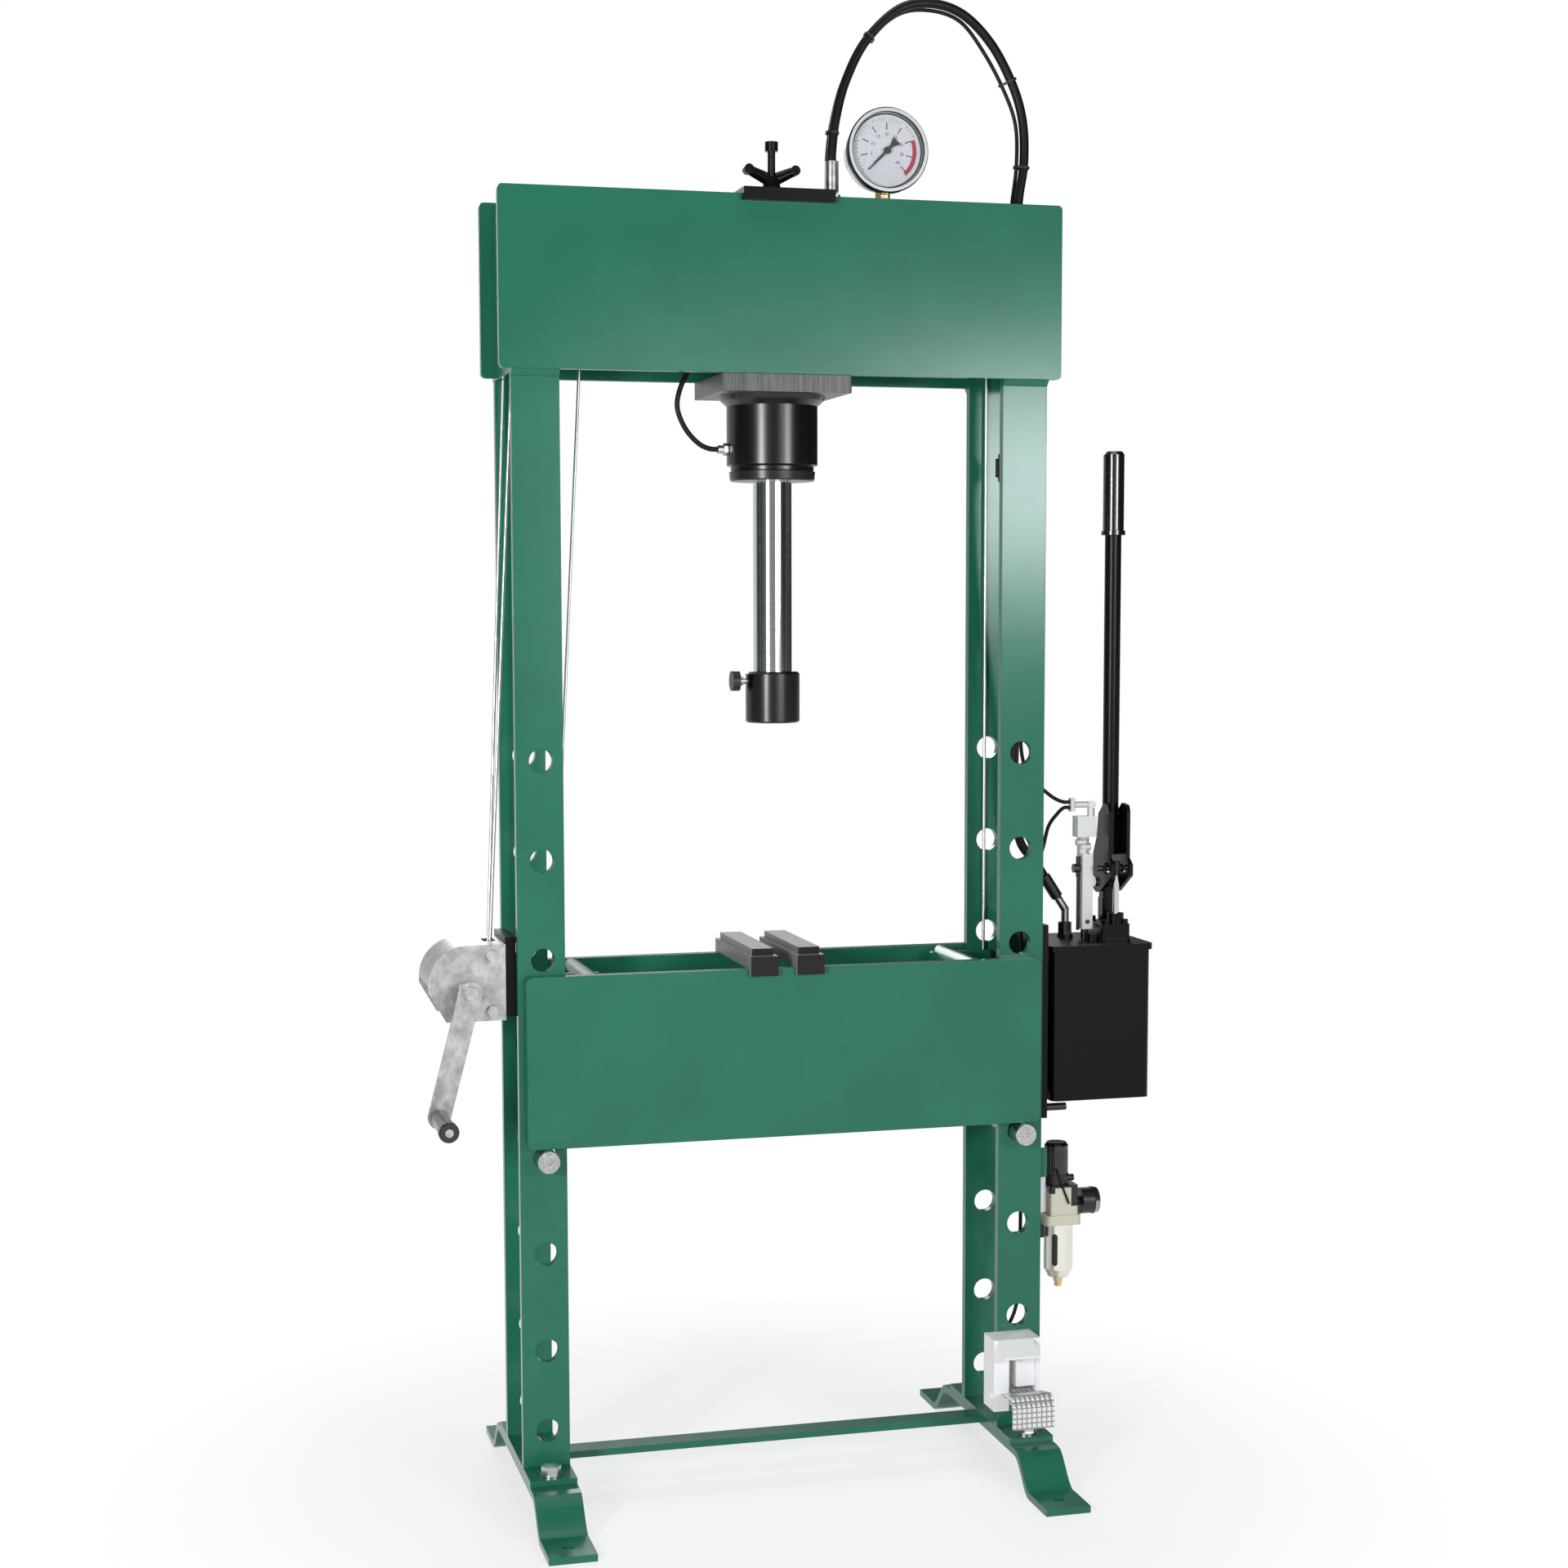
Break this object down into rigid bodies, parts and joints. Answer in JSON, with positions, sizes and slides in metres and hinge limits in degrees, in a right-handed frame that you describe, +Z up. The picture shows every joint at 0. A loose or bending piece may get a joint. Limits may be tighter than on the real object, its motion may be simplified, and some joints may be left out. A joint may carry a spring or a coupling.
{
  "type": "shop press",
  "caption": "Floor standing hydraulic shop press: H-frame with a sliding cylinder, winch-lifted bed on pins, lever pump, air motor, pressure gauge and foot pedal.",
  "frame": {"origin": "on the floor, at the centre of the four floor anchor holes, in the middle between the uprights", "axes": "+Z up, +X to the operator's right along the head and bed, +Y to the back"},
  "size_m": [0.9744, 0.52, 1.928],
  "materials": {
    "green_paint": "gloss",
    "black_paint": "satin",
    "zinc_steel": "satin",
    "wire_rope": "satin",
    "chrome": "polished",
    "stainless": "polished",
    "brass": "satin",
    "dial": "matte",
    "glass": "gloss",
    "pointer": "matte",
    "hose_rubber": "satin",
    "black_plastic": "satin",
    "aluminium": "satin",
    "cream_paint": "satin",
    "bowl_metal": "satin"
  },
  "bodies": {
    "frame": {"head_front_plate": "green_paint", "head_rear_plate": "green_paint", "head_side_plates": "green_paint", "front_uprights": "green_paint", "rear_uprights": "green_paint", "foot_frame": "green_paint", "base_plates": "green_paint", "base_bolts": "zinc_steel", "bed_pins": "chrome", "sheave_axles": "zinc_steel", "bed_ropes": "wire_rope", "winch_ropes": "wire_rope", "winch_housing": "zinc_steel", "winch_bracket": "black_paint", "pump_bracket": "black_paint", "pump_tank": "black_paint", "pump_lid": "black_paint", "pump_block": "black_paint", "pump_fittings": "zinc_steel", "air_motor": "aluminium", "air_tubes": "hose_rubber", "lower_hose": "hose_rubber", "frl_bracket": "zinc_steel", "frl_body": "cream_paint", "frl_bowl": "bowl_metal", "frl_gauge": "black_plastic", "pedal_valve": "aluminium", "upper_hose": "hose_rubber", "air_line": "hose_rubber"},
    "bed": {"bed_front_plate": "green_paint", "bed_rear_plate": "green_paint", "bed_spacers": "green_paint", "press_blocks": "black_paint"},
    "carriage": {"ram_mount_plate": "black_paint", "cylinder": "black_paint", "manifold": "black_paint", "clamp_saddle": "black_paint", "clamp_screw": "black_paint", "hose_fittings": "zinc_steel", "gauge_case": "stainless", "gauge_stem": "brass", "gauge_dial": "dial", "gauge_glass": "glass", "side_hose": "hose_rubber"},
    "ram": {"ram_rod": "chrome", "ram_head": "black_paint"},
    "thumbscrew": {"ram_thumbscrew": "zinc_steel"},
    "clamp_nut": {"wing_nut": "black_paint"},
    "pointer": {"gauge_pointer": "pointer"},
    "left_pulleys": {"left_sheaves": "zinc_steel"},
    "right_pulley": {"right_sheave": "zinc_steel"},
    "crank": {"winch_drum": "zinc_steel", "winch_crank": "zinc_steel"},
    "crank_grip": {"winch_grip": "black_plastic"},
    "lever": {"pump_lever": "black_paint", "lever_grip": "black_plastic", "lever_pivot_pin": "zinc_steel"},
    "plunger": {"pump_plunger": "chrome"},
    "regulator_knob": {"frl_knob": "black_plastic"},
    "treadle": {"pedal": "aluminium"}
  },
  "joints": [
    {"name": "bed_lift", "type": "slide", "parent": "frame", "child": "bed", "axis": [0, 0, 1], "range_m": [0, 0.25], "deforming": ["bed_ropes"]},
    {"name": "carriage_slide", "type": "slide", "parent": "frame", "child": "carriage", "axis": [1, 0, 0], "range_m": [-0.1, 0.1], "deforming": ["upper_hose", "air_line"]},
    {"name": "ram_slide", "type": "slide", "parent": "carriage", "child": "ram", "axis": [0, 0, 1], "range_m": [0, 0.225]},
    {"name": "thumbscrew_turn", "type": "hinge", "parent": "ram", "child": "thumbscrew", "pos_m": [-0.045, 0, 1.054], "axis": [1, 0, 0], "range_deg": [0, 360]},
    {"name": "clamp_nut_turn", "type": "hinge", "parent": "carriage", "child": "clamp_nut", "pos_m": [0, 0, 1.68], "axis": [0, 0, 1], "range_deg": [0, 360]},
    {"name": "pointer_turn", "type": "hinge", "parent": "carriage", "child": "pointer", "pos_m": [0.147, -0.024, 1.73], "axis": [0, 1, 0], "range_deg": [0, 270]},
    {"name": "left_pulleys_turn", "type": "hinge", "parent": "frame", "child": "left_pulleys", "pos_m": [-0.2935, 0, 1.5], "axis": [0, 1, 0], "range_deg": [-338, 0]},
    {"name": "right_pulley_turn", "type": "hinge", "parent": "frame", "child": "right_pulley", "pos_m": [0.2675, 0.054, 1.5], "axis": [0, 1, 0], "range_deg": [-338, 0]},
    {"name": "crank_turn", "type": "hinge", "parent": "frame", "child": "crank", "pos_m": [-0.4115, -0.07, 0.676], "axis": [0, 1, 0], "range_deg": [0, 422]},
    {"name": "crank_grip_spin", "type": "hinge", "parent": "crank", "child": "crank_grip", "pos_m": [-0.45237, -0.12, 0.52131], "axis": [0, 1, 0], "continuous": true},
    {"name": "lever_swing", "type": "hinge", "parent": "frame", "child": "lever", "pos_m": [0.474, 0.017, 0.777], "axis": [1, 0, 0], "range_deg": [-20, 30]},
    {"name": "plunger_slide", "type": "slide", "parent": "frame", "child": "plunger", "axis": [0, 0, 1], "range_m": [-0.0174, 0.0116]},
    {"name": "regulator_knob_turn", "type": "hinge", "parent": "frame", "child": "regulator_knob", "pos_m": [0.386, -0.03, 0.41], "axis": [0, 0, 1], "range_deg": [-270, 270]},
    {"name": "pedal_press", "type": "hinge", "parent": "frame", "child": "treadle", "pos_m": [0.3025, -0.102, 0.112], "axis": [1, 0, 0], "range_deg": [0, 10], "stiffness_Nm_per_rad": 6, "springref_deg": -8.59}
  ],
  "couplings": [
    {"joint": "crank_turn", "follows": "bed_lift", "rad_per_m": 29.412},
    {"joint": "left_pulleys_turn", "follows": "bed_lift", "rad_per_m": -23.529},
    {"joint": "right_pulley_turn", "follows": "bed_lift", "rad_per_m": -23.529},
    {"joint": "plunger_slide", "follows": "lever_swing", "m_per_rad": -0.033}
  ]
}
